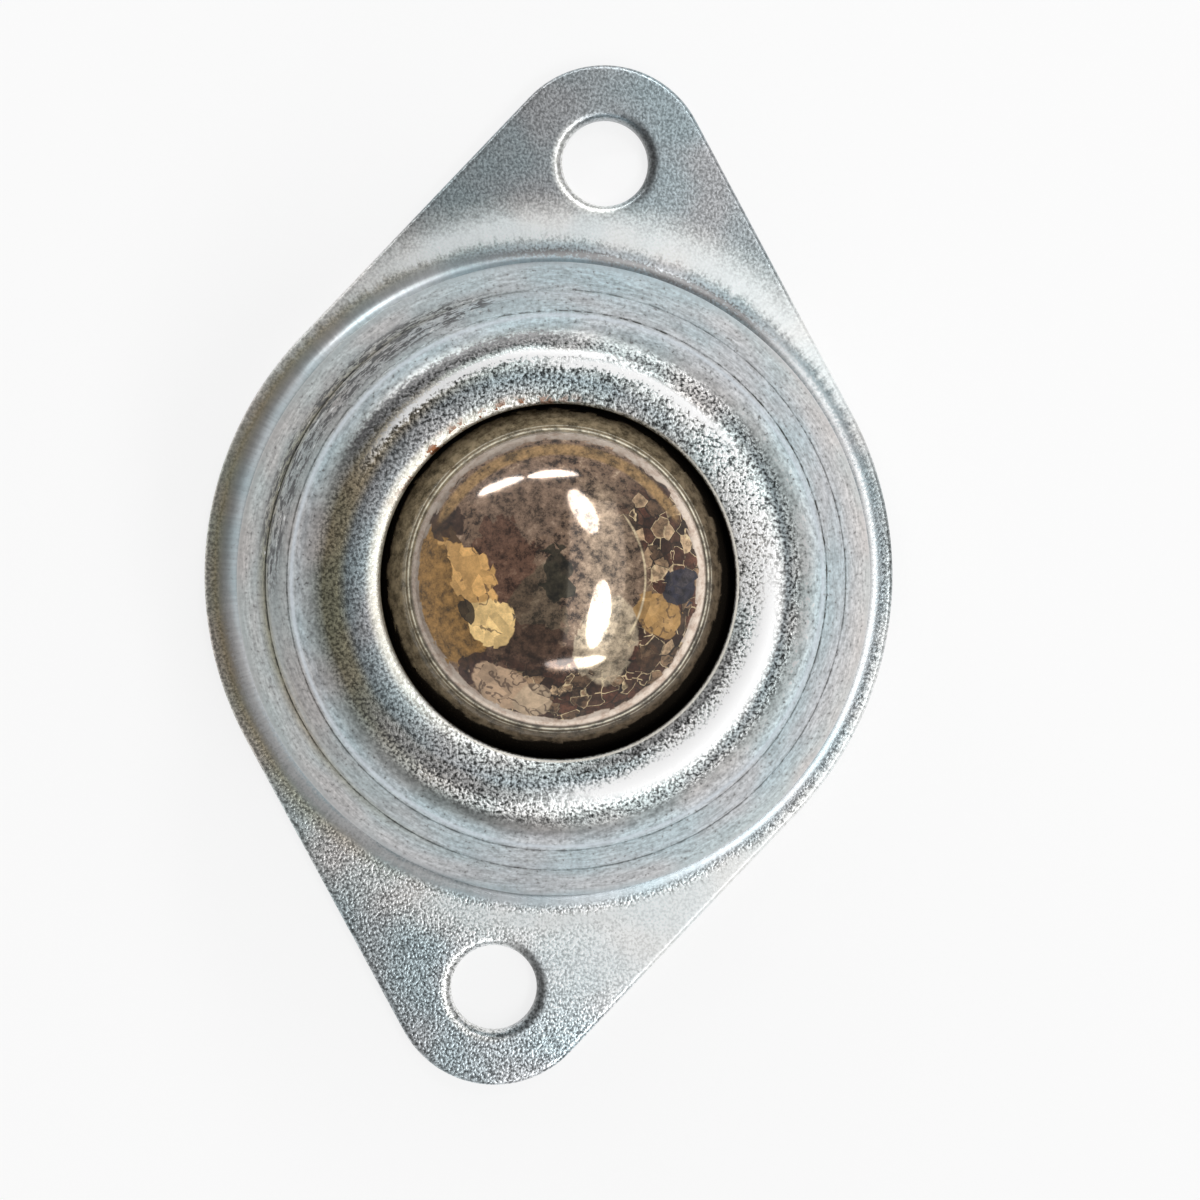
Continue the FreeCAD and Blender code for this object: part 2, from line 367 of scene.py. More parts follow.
def rolled_edge(bm, outline, roll, sheet):
    """Rings from the flat top over a rounded edge and down the cut face. The outline leaves the metal."""
    parts = 6
    steps = [(roll * 1.5, sheet)]
    for index in range(parts + 1):
        tilt = UPRIGHT * index / parts
        steps.append((roll * (1 - math.sin(tilt)), sheet - roll * (1 - math.cos(tilt))))
    steps.append((0.0, 0.0))
    rings = []
    for inset, height in steps:
        places = [point - direction * inset for point, direction in outline]
        rings.append([bm.verts.new((place.x, place.y, height)) for place in places])
    bridge(bm, rings)
    return rings[0], rings[-1]


def hole_outline(size, side):
    """Points round a bolt hole, clockwise, with directions out of the metal."""
    count = 120
    outline = []
    for index in range(count):
        angle = -math.tau * index / count
        direction = Vector((math.cos(angle), math.sin(angle)))
        outline.append((Vector((side * size.bolt_reach, 0)) + direction * size.hole_radius, -direction))
    return outline


def housing_mesh(size):
    """The housing as one closed shell: dome, flange, rolled-over edges and bolt holes."""
    turns = 360
    bm = bmesh.new()
    outer = [turned_ring(bm, point, turns, size, True) for point in outer_skin(size)]
    inner = [turned_ring(bm, point, turns, size, False) for point in inner_skin(size)]
    bridge(bm, outer)
    bridge(bm, inner)
    bridge(bm, (inner[-1], outer[0]))
    tops = [outer[-1]]
    feet = [inner[0]]
    for outline, roll in (
        (blank_outline(size), size.edge_roll),
        (hole_outline(size, 1), size.hole_roll),
        (hole_outline(size, -1), size.hole_roll),
    ):
        top, foot = rolled_edge(bm, outline, roll, size.sheet)
        tops.append(top)
        feet.append(foot)
    for loops in (tops, feet):
        edges = [edge for ring in loops for edge in ring_edges(bm, ring)]
        bmesh.ops.triangle_fill(bm, edges=edges, use_beauty=True, use_dissolve=False)
    return closed_mesh(bm, "housing_shell", 40.0)


def stake_mesh(size):
    """One nib of wall metal under the cup's rim, about the x axis, with its upper face level."""
    steps = 8
    top = CUP_HIGH.z - size.cup_sheet - size.cup_gap
    inside = CUP_HIGH.x - size.stake_overlap
    outside = CUP_HIGH.x + size.stake_root
    bm = bmesh.new()
    sections = []
    for index in range(steps + 1):
        angle = size.stake_arc * (index / steps - 0.5)
        sections.append([
            bm.verts.new((reach * math.cos(angle), reach * math.sin(angle), height))
            for reach, height in ((inside, top), (outside, top), (outside, top - size.stake_height))
        ])
    bridge(bm, sections)
    bm.faces.new(sections[0])
    bm.faces.new(sections[-1])
    return closed_mesh(bm, "stake", 30.0)


# Node trees


class Signal:
    """What a node gives out, to be reckoned with like a number."""

    def __init__(self, tree, socket):
        self.tree = tree
        self.socket = socket

    def __add__(self, other):
        return self.tree.math("ADD", self, other)

    def __sub__(self, other):
        return self.tree.math("SUBTRACT", self, other)

    def __rsub__(self, other):
        return self.tree.math("SUBTRACT", other, self)

    def __mul__(self, other):
        return self.tree.math("MULTIPLY", self, other)

    def __abs__(self):
        return self.tree.math("ABSOLUTE", self)

    __radd__ = __add__


class Nodes:
    """One node tree and short ways to add to it."""

    def __init__(self, tree):
        self.tree = tree
        self.nodes = tree.nodes
        self.links = tree.links

    def node(self, kind, **settings):
        made = self.nodes.new(kind)
        for key, value in settings.items():
            setattr(made, key, value)
        return made

    def out(self, made, output=0):
        return Signal(self, made.outputs[output])

    def put(self, socket, value):
        """Links a socket to what a node gives out, or sets it to a plain value."""
        value = getattr(value, "socket", value)
        if isinstance(value, bpy.types.NodeSocket):
            self.links.new(value, socket)
        else:
            socket.default_value = value

    def fed(self, kind, inputs, output=0, **settings):
        """What a new node gives out, with those inputs by their labels or numbers."""
        made = self.node(kind, **settings)
        for key, value in inputs.items():
            self.put(made.inputs[key], value)
        return self.out(made, output)

    def math(self, operation, *values, clamp=False):
        return self.fed("ShaderNodeMath", dict(enumerate(values)), operation=operation, use_clamp=clamp)

    def vector(self, operation, *values):
        output = "Value" if operation in ("DOT_PRODUCT", "LENGTH") else "Vector"
        return self.fed("ShaderNodeVectorMath", dict(enumerate(values)), output, operation=operation)

    def combine(self, x, y, z):
        return self.fed("ShaderNodeCombineXYZ", {"X": x, "Y": y, "Z": z})

    def split(self, vector):
        made = self.node("ShaderNodeSeparateXYZ")
        self.put(made.inputs[0], vector)
        return [self.out(made, part) for part in range(3)]

    def turned(self, vector, turn):
        """The vector turned about the height axis."""
        return self.fed("ShaderNodeMapping", {"Vector": vector, "Rotation": (0.0, 0.0, turn)})

    def smooth(self, value, low, high, start=0.0, end=1.0):
        """Start below the low value, end above the high one, with a soft step between."""
        return self.fed("ShaderNodeMapRange", {
            "Value": value, "From Min": low, "From Max": high, "To Min": start, "To Max": end,
        }, interpolation_type="SMOOTHSTEP")

    def band(self, value, centre, half_width):
        """One at the centre, falling softly to nothing that far to either side."""
        return self.smooth(abs(value - centre), 0.0, half_width, 1.0, 0.0)

    def spread(self, value, start=0.0, end=1.0):
        """Start to end over the range that a noise mostly keeps to."""
        return self.smooth(value, 0.3, 0.7, start, end)

    def between(self, share, start, end):
        """Start where the share is nought, end where it is one."""
        return self.smooth(share, 0.0, 1.0, start, end)

    def larger(self, first, second):
        return self.math("MAXIMUM", first, second)

    def noise(self, vector, scale, detail, roughness=0.5):
        return self.fed("ShaderNodeTexNoise", {
            "Vector": vector, "Scale": scale, "Detail": detail, "Roughness": roughness,
        })

    def cells(self, vector, scale, feature="F1", output="Distance", randomness=1.0):
        return self.fed("ShaderNodeTexVoronoi", {
            "Vector": vector, "Scale": scale, "Randomness": randomness,
        }, output, feature=feature)

    def mix(self, share, first, second):
        """A colour between the first and the second, each a colour or what a node gives out."""
        first, second = (tone if isinstance(tone, Signal) else opaque(tone) for tone in (first, second))
        return self.fed("ShaderNodeMix", {0: share, 6: first, 7: second}, 2, data_type="RGBA")

    def ramp(self, value, stops):
        """A colour that changes from stop to stop, each a place from nought to one and its colour."""
        made = self.node("ShaderNodeValToRGB")
        self.put(made.inputs[0], value)
        elements = made.color_ramp.elements
        elements.remove(elements[1])
        elements[0].position = stops[0][0]
        elements[0].color = opaque(stops[0][1])
        for place, tone in stops[1:]:
            elements.new(place).color = opaque(tone)
        return self.out(made)

    def brightness(self, tone, factor):
        """That colour times a number."""
        return self.vector("MULTIPLY", tone, self.combine(factor, factor, factor))

    def bump(self, height, distance, strength):
        return self.fed("ShaderNodeBump", {"Strength": strength, "Distance": distance, "Height": height})

    def facing(self, direction, degrees, half_degrees):
        """One where the direction from the axis is near that many degrees anticlockwise from the right."""
        wanted = (math.cos(math.radians(degrees)), math.sin(math.radians(degrees)), 0.0)
        nearness = self.vector("DOT_PRODUCT", direction, wanted)
        return self.smooth(nearness, math.cos(math.radians(half_degrees)), 1.0)


def opaque(tone):
    return (*tone, 1.0)


class Finish(Nodes):
    """One material with its shader."""

    def __init__(self, name):
        self.material = bpy.data.materials.new(name)
        self.material.use_nodes = True
        super().__init__(self.material.node_tree)
        self.nodes.clear()
        self.shader = self.node("ShaderNodeBsdfPrincipled")
        self.output = self.node("ShaderNodeOutputMaterial")
        self.links.new(self.shader.outputs["BSDF"], self.output.inputs["Surface"])

    def surface(self, **values):
        """Sets or links the shader's sockets by their labels, with spaces as underscores."""
        for key, value in values.items():
            self.put(self.shader.inputs[key.replace("_", " ")], value)

    def laid_out(self):
        """Object coordinates turned so that x runs to the right and y up as the castor is looked at."""
        place = self.node("ShaderNodeTexCoord").outputs["Object"]
        return self.turned(place, UPRIGHT - studio().camera_lean)


class Growth(Nodes):
    """One Geometry Nodes tree with a geometry input, those named inputs and a geometry output."""

    def __init__(self, name, inputs):
        super().__init__(bpy.data.node_groups.new(name, "GeometryNodeTree"))
        sockets = self.tree.interface
        sockets.new_socket("Geometry", in_out="INPUT", socket_type="NodeSocketGeometry")
        for label, (socket_type, default) in inputs.items():
            socket = sockets.new_socket(label, in_out="INPUT", socket_type=socket_type)
            if default is not None:
                socket.default_value = default
        sockets.new_socket("Geometry", in_out="OUTPUT", socket_type="NodeSocketGeometry")
        self.given = self.node("NodeGroupInput").outputs

    def end(self, instances):
        """Ends the tree: instances made real, shaded smooth and given their material."""
        real = self.fed("GeometryNodeRealizeInstances", {"Geometry": instances})
        smooth = self.fed("GeometryNodeSetShadeSmooth", {"Geometry": real})
        painted = self.fed("GeometryNodeSetMaterial", {"Geometry": smooth, "Material": self.given["Finish"]})
        self.put(self.node("NodeGroupOutput").inputs["Geometry"], painted)
        return self.tree


def balls_on_points():
    """A tree that sets a ball on each vertex of the mesh that it is given."""
    g = Growth("balls_on_points", {
        "Ball radius": ("NodeSocketFloat", 2 * MM),
        "Fineness": ("NodeSocketInt", 4),
        "Finish": ("NodeSocketMaterial", None),
    })
    ball = g.fed("GeometryNodeMeshIcoSphere", {
        "Radius": g.given["Ball radius"], "Subdivisions": g.given["Fineness"],
    })
    return g.end(g.fed("GeometryNodeInstanceOnPoints", {"Points": g.given["Geometry"], "Instance": ball}))


def copies_round_axis():
    """A tree that repeats the mesh that it is given evenly about the ball's axis."""
    g = Growth("copies_round_axis", {
        "Count": ("NodeSocketInt", 6),
        "Finish": ("NodeSocketMaterial", None),
    })
    places = g.fed("GeometryNodeMeshLine", {"Count": g.given["Count"], "Offset": (0.0, 0.0, 0.0)})
    past_half = g.out(g.node("GeometryNodeInputIndex")) + 0.5
    turn = past_half * g.math("DIVIDE", math.tau, g.given["Count"])
    return g.end(g.fed("GeometryNodeInstanceOnPoints", {
        "Points": places, "Instance": g.given["Geometry"], "Rotation": g.combine(0.0, 0.0, turn),
    }))


def grown(name, mesh, tree, values):
    """A plain mesh piece that the tree grows from that mesh, with those inputs by their labels."""
    piece = show(name, mesh)
    growth = piece.modifiers.new("growth", "NODES")
    growth.node_group = tree
    for item in tree.interface.items_tree:
        if item.in_out == "INPUT" and item.name in values:
            growth[item.identifier] = values[item.name]
    depsgraph = bpy.context.evaluated_depsgraph_get()
    result = bpy.data.meshes.new_from_object(piece.evaluated_get(depsgraph), depsgraph=depsgraph)
    piece.modifiers.remove(growth)
    piece.data = result
    result.name = name
    return piece


def points_mesh(name, places):
    mesh = bpy.data.meshes.new(name)
    mesh.from_pydata([tuple(place) for place in places], [], [])
    return mesh


# Finishes


# Tints of the plate, and its painted light and shade from the opening out over the rings to the flange,
# lighter on the right and darker on the left, with painted highlights on the lip: reach in mm, tone and tint,
# on the right, along the bolt line and on the left. The olive tint is a painted reflection.
TINTS = {
    "plain": (0.98, 1.0, 0.98),
    "blue": (0.92, 1.01, 1.05),
    "teal": (0.86, 1.02, 1.10),
    "olive": (1.12, 1.0, 0.70),
}
RIGHT_RINGS = (
    (11.3, 0.62, "plain"), (11.9, 0.85, "plain"), (13.2, 1.0, "plain"), (13.8, 0.75, "plain"),
    (14.5, 0.17, "blue"), (15.0, 0.30, "plain"), (15.7, 0.95, "plain"), (16.7, 0.64, "blue"),
    (17.3, 0.53, "blue"), (19.0, 0.56, "blue"), (20.6, 0.63, "plain"), (21.6, 0.76, "plain"),
    (22.2, 0.52, "blue"), (23.2, 0.28, "blue"), (24.2, 0.34, "plain"),
)
BOLT_LINE_RINGS = (
    (11.3, 0.65, "plain"), (11.8, 0.42, "plain"), (12.8, 0.34, "blue"), (13.5, 0.45, "plain"),
    (14.1, 1.0, "plain"), (14.5, 0.80, "plain"), (15.1, 0.24, "plain"), (15.7, 0.45, "plain"),
    (16.4, 0.60, "blue"), (17.3, 0.52, "blue"), (18.8, 0.50, "blue"), (20.6, 0.52, "blue"),
    (21.3, 0.44, "teal"), (22.1, 0.24, "teal"), (22.9, 0.62, "blue"), (23.6, 0.85, "plain"),
    (24.6, 0.75, "plain"), (27.0, 0.50, "blue"), (33.0, 0.45, "blue"),
)
LEFT_RINGS = (
    (11.3, 0.95, "plain"), (11.7, 0.46, "plain"), (12.4, 0.25, "blue"), (13.3, 0.15, "blue"),
    (13.9, 0.17, "olive"), (14.8, 0.24, "olive"), (15.7, 0.66, "plain"), (16.5, 0.46, "blue"),
    (17.3, 0.35, "plain"), (18.2, 0.31, "plain"), (18.8, 0.24, "olive"), (19.4, 0.40, "plain"),
    (20.2, 0.44, "plain"), (20.9, 0.34, "plain"), (21.4, 0.37, "blue"), (22.0, 0.82, "blue"),
    (22.5, 0.55, "plain"), (23.2, 0.42, "olive"), (24.2, 0.55, "plain"),
)
# Where the ramps of these rings end: reach in mm
REACH_LIMIT = 36.0


def ring_tones(f, reach, rings):
    """The plate's painted light and shade by its distance from the axis."""
    stops = [
        (place / REACH_LIMIT, tuple(min(1.0, tone * part) for part in TINTS[tint]))
        for place, tone, tint in rings
    ]
    return f.ramp(reach * (1 / (REACH_LIMIT * MM)), stops)


def zinc_plate():
    """Zinc plate: grainy on the lip and flange, scuffed on the cone, smooth and tinted in the root, with
    painted light and shade by ring and by side.
    """
    f = Finish("zinc_plate")
    place = f.laid_out()
    x, y, z = f.split(place)
    flat = f.combine(x, y, 0.0)
    reach = f.vector("LENGTH", flat)
    direction = f.vector("NORMALIZE", flat)
    slope = reach - z

    cloud = f.noise(place, 190.0, 1.0)
    grain = f.noise(place, 5200.0, 1.0, 0.6)
    fleck = f.noise(flat, 3800.0, 1.0, 0.6)
    coarse = f.noise(place, 1500.0, 0.0)
    streak = f.noise(drawn(f, direction, slope, 17.0, 1600.0), 1.0, 3.0, 0.75)
    comb = f.noise(drawn(f, direction, reach, 95.0, 320.0), 1.0, 1.0)

    root_reach = dome_bends(sizes())[3].x
    on_lip = f.smooth(reach, 15.9 * MM, 15.0 * MM)
    on_flange = f.smooth(reach, root_reach - 0.4 * MM, root_reach + 0.4 * MM)
    on_wall = f.smooth(reach, 20.2 * MM, 20.9 * MM) * (1.0 - on_flange)
    on_cone = 1.0 - on_lip - on_flange

    # Painted light and shade: ring tones for the right, the bolt line and the left, the lip's rings shifted
    # in or out with the direction.
    wander = reach + (cloud - 0.5) * (0.5 * MM)
    drift = f.split(direction)[0] * f.smooth(reach, 16.8 * MM, 14.8 * MM) * (1.1 * MM)
    behind = drift - f.smooth(reach, 16.8 * MM, 14.8 * MM, 0.0, 1.1 * MM)
    plate = f.mix(
        f.facing(direction, -6.0, 80.0),
        ring_tones(f, wander + drift, BOLT_LINE_RINGS),
        ring_tones(f, wander + behind, RIGHT_RINGS),
    )
    plate = f.mix(f.facing(direction, 176.0, 86.0), plate, ring_tones(f, wander, LEFT_RINGS))
    cast = f.mix(f.spread(cloud), (0.93, 1.01, 1.03), (1.06, 0.99, 0.98))
    plate = f.vector("MULTIPLY", plate, cast)
    beyond = f.smooth(reach, 24.2 * MM, 25.6 * MM)
    # Painted light on the flange beyond the bolt holes, paler to the right.
    plate = f.brightness(plate, f.mix(beyond, (1.0, 1.0, 1.0), flange_tone(f, x, y)))
    plate, glare = lip_lights(f, plate, wander, direction, grain)
    # Painted highlight: a bright band on the flange just outside the root, with comb marks along its inner
    # border.
    root_highlight = highlight_outside_root(f, reach, direction, comb, coarse)
    bright = f.mix(f.smooth(cloud, 0.4, 0.62), (0.96, 1.0, 1.0), (1.0, 1.0, 0.98))
    plate = f.mix(root_highlight, plate, f.brightness(bright, f.spread(comb, 0.93, 1.0)))
    plate = hole_rims(f, plate, x, y)

    salted = on_lip + on_flange * f.smooth(y, 0.0, 10.0 * MM, 0.8, 0.4)
    quiet = f.larger(root_highlight * 0.85, glare)
    quiet = f.larger(quiet, f.facing(direction, 182.0, 62.0) * 0.35)
    salted = salted * (1.0 - quiet)
    salt = 1.0 + salted * f.smooth(grain, 0.28, 0.72, -0.9, 0.9)
    rubbed = f.spread(streak, -0.28, 0.24)
    combed = f.spread(comb, -0.08, 0.07)
    scuff_and_edge_light = f.between(on_wall, rubbed, combed)
    off_wall = f.between(on_wall, 1.0, 0.2)
    flecked = f.spread(fleck, -0.16, 0.18) * off_wall
    scuff = 1.0 + on_cone * (scuff_and_edge_light + flecked)
    plate = f.brightness(plate, salt * scuff)
    specks = on_cone * off_wall * f.smooth(fleck, 0.36, 0.3) * f.smooth(coarse, 0.42, 0.54)
    plate = f.mix(specks * 0.7, plate, (0.13, 0.125, 0.12))
    plate = draw_marks(f, plate, reach, direction, streak)
    # Painted highlights at the opening's edge, rust, and painted black shade on its wall.
    plate, lit_edge_share = opening_rust_and_painted_light(f, plate, reach, z, direction, coarse, grain)

    roughness = f.smooth(reach, 14.8 * MM, 15.6 * MM, 0.46, 0.34) + cloud * 0.04
    f.surface(
        Base_Color=plate,
        Metallic=f.math("SUBTRACT", f.between(root_highlight, 1.0, 0.2), lit_edge_share, clamp=True),
        Roughness=roughness,
        Normal=f.bump(grain, 0.05 * MM, salted),
    )
    return f.material


def drawn(f, direction, slope, along, down):
    """Coordinates that run round the axis and down the dome's slope, for marks drawn out along the turn."""
    across, up, _ = f.split(direction)
    return f.combine(across * along, up * along, slope * down)


def flange_tone(f, x, y):
    """Painted light and shade on the flange: how much paler or darker it is, from its left to its right,
    beyond either bolt hole.
    """
    upper = f.smooth(x, -6.0 * MM, 9.0 * MM, 0.7, 1.0)
    lower = f.smooth(x, -14.0 * MM, 8.0 * MM, 0.9, 1.5)
    return f.mix(f.smooth(y, -2.0 * MM, 2.0 * MM), lower, upper)


def highlight_outside_root(f, reach, direction, comb, coarse):
    """Share of the painted highlight on the flange outside the root, a bright band combed along its inner
    border.
    """
    start = reach + (comb - 0.5) * (1.1 * MM)
    inner = f.smooth(start, 23.1 * MM, 23.9 * MM)
    ragged = reach + (coarse - 0.5) * (0.9 * MM)
    upper = f.facing(direction, 68.0, 66.0) * f.smooth(ragged, 26.8 * MM, 23.8 * MM)
    lower = f.facing(direction, -50.0, 58.0) * f.smooth(ragged, 33.0 * MM, 27.0 * MM)
    near = f.facing(direction, -62.0, 66.0) * f.smooth(ragged, 25.8 * MM, 23.9 * MM)
    lower = f.larger(lower, near)
    left = f.facing(direction, 125.0, 40.0) * f.smooth(ragged, 26.4 * MM, 23.0 * MM) * 0.55
    share = f.math("ADD", f.math("ADD", upper, lower, clamp=True), left, clamp=True)
    return share * inner


# Lights and shades that lie on only one side of the lip or of the root: direction and half width in degrees,
# reach and half width in mm, tone and strength
LIP_LIGHTS = (
    (-48.0, 50.0, 11.85, 0.60, 0.26, 1.0),  # edge shade
    (238.0, 34.0, 14.1, 1.0, 0.24, 0.9),  # lower left shade
    (118.0, 46.0, 15.35, 0.75, 0.17, 1.5),  # upper left shade
    (108.0, 46.0, 14.35, 0.42, 1.0, 1.3),  # upper left crescent
    (66.0, 36.0, 13.75, 0.50, 1.0, 1.2),  # upper right crescent
    (-42.0, 62.0, 13.38, 1.15, 1.0, 1.5),  # lower right glare
    (72.0, 42.0, 22.45, 0.55, 0.16, 1.2),  # upper root shade
    (10.0, 45.0, 22.45, 0.55, 0.95, 0.9),  # right root light
    (220.0, 48.0, 22.40, 0.60, 0.85, 0.9),  # lower left root light
)


def lip_lights(f, plate, reach, direction, grain):
    """The plate with those lights and shades, and the share of it that glares."""
    glare = 0.0
    ragged = reach + (grain - 0.5) * (0.9 * MM)
    for degrees, half_degrees, middle, half_width, tone, strength in LIP_LIGHTS:
        share = f.facing(direction, degrees, half_degrees) * f.band(ragged, middle * MM, half_width * MM)
        share = f.math("MULTIPLY", share, strength, clamp=True)
        plate = f.mix(share, plate, (tone, tone, tone))
        if tone == 1.0:
            glare = f.larger(glare, share)
    return plate, glare


def hole_rims(f, plate, x, y):
    """The plate with each bolt hole's rounded rim given a painted highlight on the left and painted shade on
    the right.
    """
    size = sizes()
    lean = studio().camera_lean
    side = f.math("SIGN", y)
    hole_x = side * (size.bolt_reach * math.sin(lean))
    hole_y = side * (size.bolt_reach * math.cos(lean))
    local = f.combine(x - hole_x, y - hole_y, 0.0)
    rim = f.smooth(f.vector("LENGTH", local), size.hole_radius + 0.95 * MM, size.hole_radius + 0.35 * MM)
    toward = f.vector("NORMALIZE", local)
    plate = f.mix(rim * f.facing(toward, 205.0, 100.0) * 0.9, plate, (0.96, 0.96, 0.92))
    return f.mix(rim * f.facing(toward, 5.0, 85.0) * 0.85, plate, (0.13, 0.13, 0.13))


def draw_marks(f, plate, reach, direction, streak):
    """The plate with painted shade in each draw ring, broken and darker towards one side, a pale line beside
    each, and a scored patch on the left with dark scratches and painted glints.
    """
    size = sizes()
    broken = f.smooth(streak, 0.56, 0.44, 0.15, 1.0)
    for drop, degrees, pale in ((size.ring_drop_upper, 40.0, 0.6), (size.ring_drop_lower, 178.0, 0.2)):
        middle = ring_reach(size, drop)
        plate = f.mix(f.band(reach, middle - 0.32 * MM, 0.26 * MM) * pale, plate, (0.68, 0.74, 0.8))
        # Painted shade in the draw ring, darker towards one side.
        dark = f.between(f.facing(direction, degrees, 85.0), 0.45, 1.0)
        plate = f.mix(f.band(reach, middle, 0.11 * MM) * broken * dark, plate, (0.07, 0.07, 0.06))
    score = f.band(reach, 18.5 * MM, 1.35 * MM) * f.facing(direction, 142.0, 50.0)
    score = f.math("MULTIPLY", score, 2.4, clamp=True)
    # Dark scratches, then painted glints as pale streaks in the scored patch.
    plate = f.mix(score * f.smooth(streak, 0.47, 0.56) * 0.92, plate, (0.03, 0.03, 0.032))
    return f.mix(score * f.smooth(streak, 0.38, 0.31) * 0.7, plate, (0.8, 0.8, 0.8))


def opening_rust_and_painted_light(f, plate, reach, z, direction, coarse, grain):
    """The plate with a painted highlight on the opening's rounded edge and a painted cream highlight inside
    it on the left, rust on the edge, brown on the opening's wall and painted black shade below that, and the
    share of the edge highlight.
    """
    size = sizes()
    # Painted highlight: cream on the inner lip near the opening, on the left.
    cream = f.smooth(reach, 12.3 * MM, 11.6 * MM) * f.facing(direction, 165.0, 85.0) * 0.75
    plate = f.mix(cream, plate, (0.92, 0.89, 0.78))
    # Painted highlight on the opening's rounded edge, all round but the upper left; it also makes the metal
    # less metallic there.
    scuff_and_edge_light = f.band(reach, 11.38 * MM, 0.12 * MM) * f.facing(direction, -42.0, 140.0) * 1.5
    scuff_and_edge_light = f.math("MINIMUM", scuff_and_edge_light, 0.95)
    plate = f.mix(scuff_and_edge_light, plate, (1.0, 0.97, 0.88))
    flecks = coarse + grain * 0.9
    edge = f.smooth(reach, 12.3 * MM, 11.5 * MM)
    rusty = edge * f.facing(direction, 118.0, 46.0) * f.smooth(flecks, 1.03, 1.11)
    plate = f.mix(rusty, plate, finishes().rust)
    # The opening's wall: brown near its top, and painted black shade below, reaching higher to the lower
    # right.
    wall = f.smooth(reach, size.opening_radius + 0.1 * MM, size.opening_radius + 0.02 * MM)
    brown = f.mix(f.smooth(coarse, 0.4, 0.6), (0.1, 0.065, 0.03), (0.24, 0.19, 0.11))
    plate = f.mix(wall * f.smooth(z, 25.5 * MM, 25.36 * MM), plate, brown)
    black_top = 24.3 * MM + f.facing(direction, -42.0, 125.0) * (0.85 * MM) + (coarse - 0.5) * (0.6 * MM)
    below = f.smooth(z - black_top, 0.1 * MM, -0.05 * MM)
    return f.mix(wall * below, plate, (0.004, 0.004, 0.004)), scuff_and_edge_light


def cup_steel():
    """Drawn steel, lightly oiled, with fine marks round the axis."""
    f = Finish("oiled_drawn_steel")
    place = f.laid_out()
    x, y, z = f.split(place)
    direction = f.vector("NORMALIZE", f.combine(x, y, 0.0))
    across, up, _ = f.split(direction)
    marks = f.noise(f.combine(across, up, z * 2600.0), 2.0, 4.0, 0.7)
    stain = f.noise(place, 220.0, 3.0)
    steel = f.mix(f.spread(marks), (0.34, 0.34, 0.34), finishes().cup_steel)
    steel = f.mix(f.smooth(stain, 0.5, 0.75, 0.0, 0.55), steel, (0.24, 0.17, 0.1))
    f.surface(
        Base_Color=steel,
        Metallic=1.0,
        Roughness=f.spread(stain, 0.26, 0.42),
        Normal=f.bump(marks, 0.02 * MM, 0.6),
    )
    return f.material


def bearing_steel():
    """Polished steel with an oil film and hairline running marks."""
    f = Finish("polished_bearing_steel")
    place = f.laid_out()
    marks = f.noise(place, 2400.0, 2.0, 0.6)
    oil = f.noise(place, 420.0, 2.0)
    steel = f.mix(f.smooth(oil, 0.45, 0.7, 0.0, 0.5), finishes().bearing_steel, (0.38, 0.3, 0.2))
    f.surface(
        Base_Color=steel,
        Metallic=1.0,
        Roughness=f.smooth(marks, 0.4, 0.7, 0.08, 0.2),
        Normal=f.bump(marks, 0.004 * MM, 0.4),
    )
    return f.material


# Patches of a painted reflection of a room on the top of the load ball: right, up, half width, half height
# (shares of the ball's radius), turn in degrees, raggedness, colour, strength and whether it is a pale patch
# with facets and cracks
REFLECTED_ROOM_PATCHES = (
    (-0.20, 0.38, 0.26, 0.20, 15.0, 0.10, (0.26, 0.19, 0.155), 0.6, False),  # grey shoulder
    (-0.27, 0.10, 0.17, 0.26, 24.0, 0.12, (0.11, 0.042, 0.027), 0.65, False),  # red brown
    (-0.10, -0.12, 0.15, 0.24, 0.0, 0.12, (0.12, 0.10, 0.07), 0.65, False),  # slate heart
    (-0.16, -0.33, 0.24, 0.12, -8.0, 0.10, (0.07, 0.032, 0.022), 0.75, False),  # umber belt
    (-0.015, 0.03, 0.08, 0.13, 0.0, 0.09, (0.022, 0.024, 0.016), 0.85, False),  # dark centre
    (0.23, -0.27, 0.15, 0.23, -6.0, 0.05, (0.72, 0.64, 0.51), 0.6, False),  # pale haze
    (-0.56, -0.07, 0.20, 0.36, 14.0, 0.04, (0.33, 0.19, 0.06), 0.95, False),  # ochre field
    (-0.435, 0.045, 0.09, 0.21, 33.0, 0.06, (0.78, 0.48, 0.19), 0.95, True),  # tan leaf
    (-0.34, -0.19, 0.105, 0.11, 0.0, 0.06, (1.0, 0.74, 0.36), 1.0, True),  # tan toe
    (-0.46, -0.14, 0.03, 0.055, 20.0, 0.03, (0.04, 0.028, 0.016), 0.95, False),  # leaf gap
    (-0.53, 0.29, 0.11, 0.085, -20.0, 0.07, (0.035, 0.016, 0.012), 0.9, False),  # dark knot
    (-0.42, -0.43, 0.10, 0.07, 30.0, 0.05, (0.05, 0.022, 0.018), 0.9, False),  # dark foot
    (-0.28, -0.51, 0.17, 0.095, -28.0, 0.04, (0.56, 0.41, 0.30), 1.0, True),  # pink scale
    (-0.13, -0.58, 0.10, 0.085, 0.0, 0.035, (0.62, 0.49, 0.37), 1.0, True),  # pink chip
    (0.49, -0.16, 0.13, 0.10, -40.0, 0.03, (0.50, 0.31, 0.12), 0.9, True),  # bricks
    (0.60, -0.02, 0.09, 0.09, 0.0, 0.05, (0.030, 0.034, 0.062), 0.95, False),  # blue spot
    (0.43, -0.37, 0.06, 0.07, 0.0, 0.03, (0.09, 0.05, 0.03), 0.9, False),  # brown blob
)


